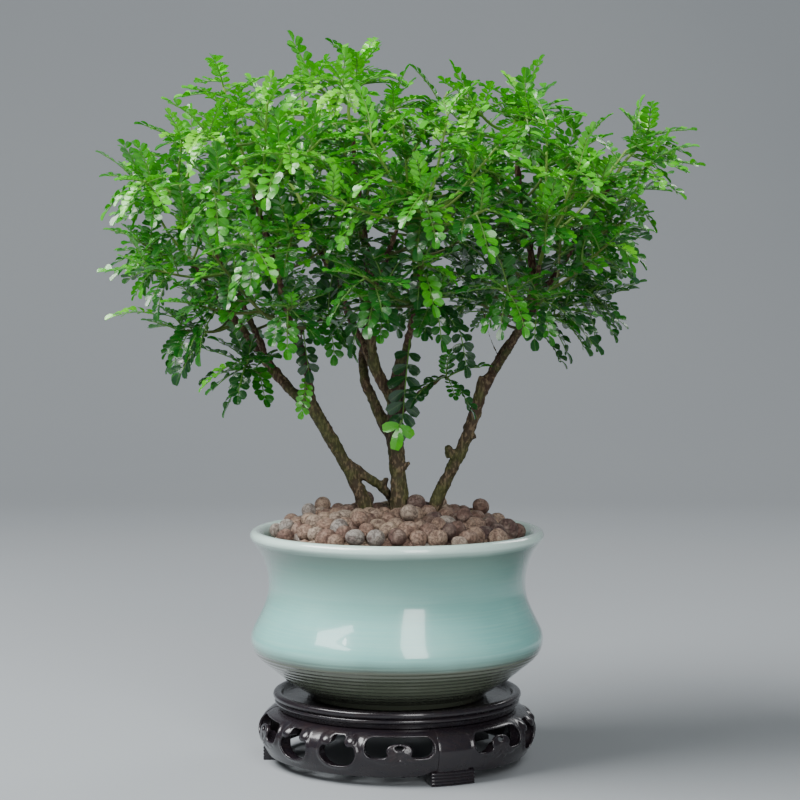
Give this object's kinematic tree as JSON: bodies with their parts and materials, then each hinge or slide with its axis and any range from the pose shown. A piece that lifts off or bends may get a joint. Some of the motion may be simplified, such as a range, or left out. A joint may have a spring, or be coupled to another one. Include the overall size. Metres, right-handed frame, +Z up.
{
  "type": "japanese pepper bonsai",
  "caption": "Small potted tree with slender branching stems and feathery pinnate leaves, in a waisted glazed pot topped with clay balls, on a round openwork wooden stand.",
  "frame": {"origin": "on the surface the stand rests on, on the vertical axis of the pot and stand", "axes": "+Z up; the front, seen in the picture, is -Y; +X to the right"},
  "size_m": [0.4263, 0.3654, 0.4961],
  "materials": {
    "stand_wood": "gloss",
    "pot_glaze": "gloss",
    "soil": "matte",
    "clay_balls": "matte",
    "bark": "matte",
    "leaf": "satin"
  },
  "bodies": {
    "root": {"stand_top": "stand_wood", "stand_leg_1": "stand_wood", "stand_apron_1": "stand_wood", "stand_leg_2": "stand_wood", "stand_apron_2": "stand_wood", "stand_leg_3": "stand_wood", "stand_apron_3": "stand_wood", "pot": "pot_glaze", "soil": "soil", "clay_balls": "clay_balls", "stem_left": "bark", "stem_centre": "bark", "stem_right": "bark", "spray_01": "leaf", "spray_02": "leaf", "spray_03": "leaf", "spray_04": "leaf", "spray_05": "leaf", "spray_06": "leaf", "spray_07": "leaf", "spray_08": "leaf", "spray_09": "leaf", "spray_10": "leaf", "spray_11": "leaf", "spray_12": "leaf", "spray_13": "leaf", "spray_14": "leaf", "spray_15": "leaf", "spray_16": "leaf", "spray_17": "leaf", "spray_18": "leaf", "spray_19": "leaf", "spray_20": "leaf", "spray_21": "leaf", "spray_22": "leaf", "spray_23": "leaf", "spray_24": "leaf", "spray_25": "leaf", "spray_26": "leaf", "spray_27": "leaf", "spray_28": "leaf", "spray_29": "leaf", "spray_30": "leaf", "spray_31": "leaf", "spray_32": "leaf", "spray_33": "leaf"}
  },
  "joints": []
}
